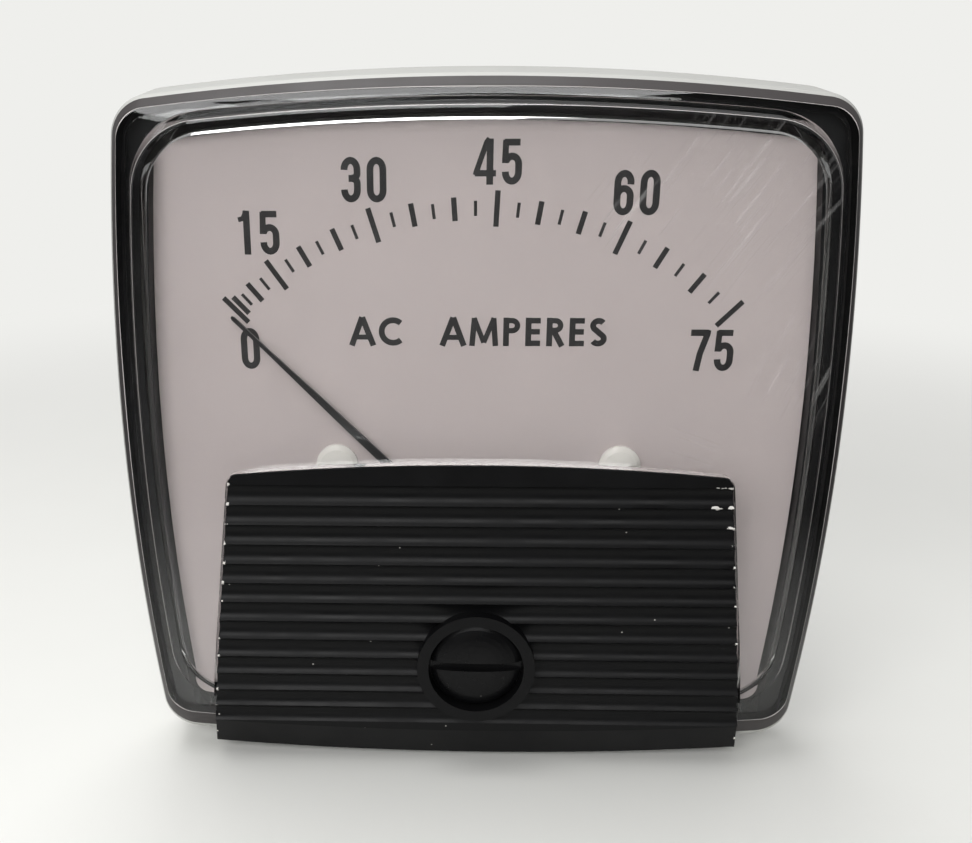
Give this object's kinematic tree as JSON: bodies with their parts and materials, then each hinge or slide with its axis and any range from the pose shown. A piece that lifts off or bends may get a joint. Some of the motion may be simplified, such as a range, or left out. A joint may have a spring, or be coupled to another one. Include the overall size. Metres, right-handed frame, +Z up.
{
  "type": "analog panel meter",
  "caption": "Rectangular moving-iron panel meter with a bowed clear cover, a curved pointer scale, a fluted black lower mask and a round rear barrel.",
  "frame": {"origin": "on the movement axis, in the plane where the flange meets the panel", "axes": "+X right as seen from the front, +Y back through the panel along the barrel, +Z up"},
  "size_m": [0.1192, 0.0841, 0.1171],
  "materials": {
    "clear_cover": "gloss",
    "black_phenolic": "satin",
    "dial_paint": "satin",
    "white_paint": "satin",
    "zinc_steel": "satin",
    "brass": "satin",
    "coil_former_fibre": "matte",
    "enamelled_copper": "gloss",
    "soft_iron": "satin",
    "aluminium": "satin",
    "black_paint": "satin",
    "tinned_lead": "satin"
  },
  "bodies": {
    "case": {"front_cover": "clear_cover", "lower_mask": "black_phenolic", "base": "black_phenolic", "dial_plate": "dial_paint", "dial_screw_left": "white_paint", "dial_screw_right": "white_paint", "panel_stud_upper_left": "zinc_steel", "panel_stud_upper_right": "zinc_steel", "panel_stud_lower_left": "zinc_steel", "panel_stud_lower_right": "zinc_steel", "terminal_stud_left": "brass", "terminal_stud_right": "brass", "terminal_washer_left": "zinc_steel", "terminal_washer_right": "zinc_steel", "terminal_lock_washer_left": "zinc_steel", "terminal_lock_washer_right": "zinc_steel", "terminal_nut_left": "brass", "terminal_nut_right": "brass", "solder_lug_left": "brass", "solder_lug_right": "brass", "lead_left": "tinned_lead", "lead_right": "tinned_lead", "movement_frame": "black_phenolic", "frame_screws": "zinc_steel", "coil_former": "coil_former_fibre", "coil_winding": "enamelled_copper", "fixed_vane": "soft_iron", "front_bridge": "brass", "rear_bridge": "brass", "rear_bridge_screws": "zinc_steel", "front_jewel_screw": "zinc_steel", "rear_jewel_screw": "zinc_steel", "front_jewel_nut": "brass", "rear_jewel_nut": "brass", "pointer_stops": "zinc_steel", "damping_magnet": "soft_iron"},
    "pointer_body": {"spindle": "zinc_steel", "pointer": "black_paint", "pointer_hub": "brass", "balance_weights": "brass", "moving_vane": "soft_iron", "damping_vane": "aluminium", "spring_collet": "brass", "hairspring": "brass"},
    "zero_lever_body": {"zero_lever": "brass"},
    "zero_adjuster": {"adjuster_head": "black_phenolic", "adjuster_clip": "zinc_steel"}
  },
  "joints": [
    {"name": "pointer_hinge", "type": "hinge", "parent": "case", "child": "pointer_body", "pos_m": [0, 0, 0], "axis": [0, 1, 0], "range_deg": [-2, 93], "stiffness_Nm_per_rad": 0.00002},
    {"name": "adjuster_hinge", "type": "hinge", "parent": "case", "child": "zero_adjuster", "pos_m": [0, -0.0175, -0.0185], "axis": [0, 1, 0], "range_deg": [-30, 30]},
    {"name": "lever_hinge", "type": "hinge", "parent": "case", "child": "zero_lever_body", "pos_m": [0, -0.015, 0], "axis": [0, 1, 0], "range_deg": [-3, 3]}
  ],
  "couplings": [
    {"joint": "lever_hinge", "follows": "adjuster_hinge", "ratio": 0.075}
  ]
}
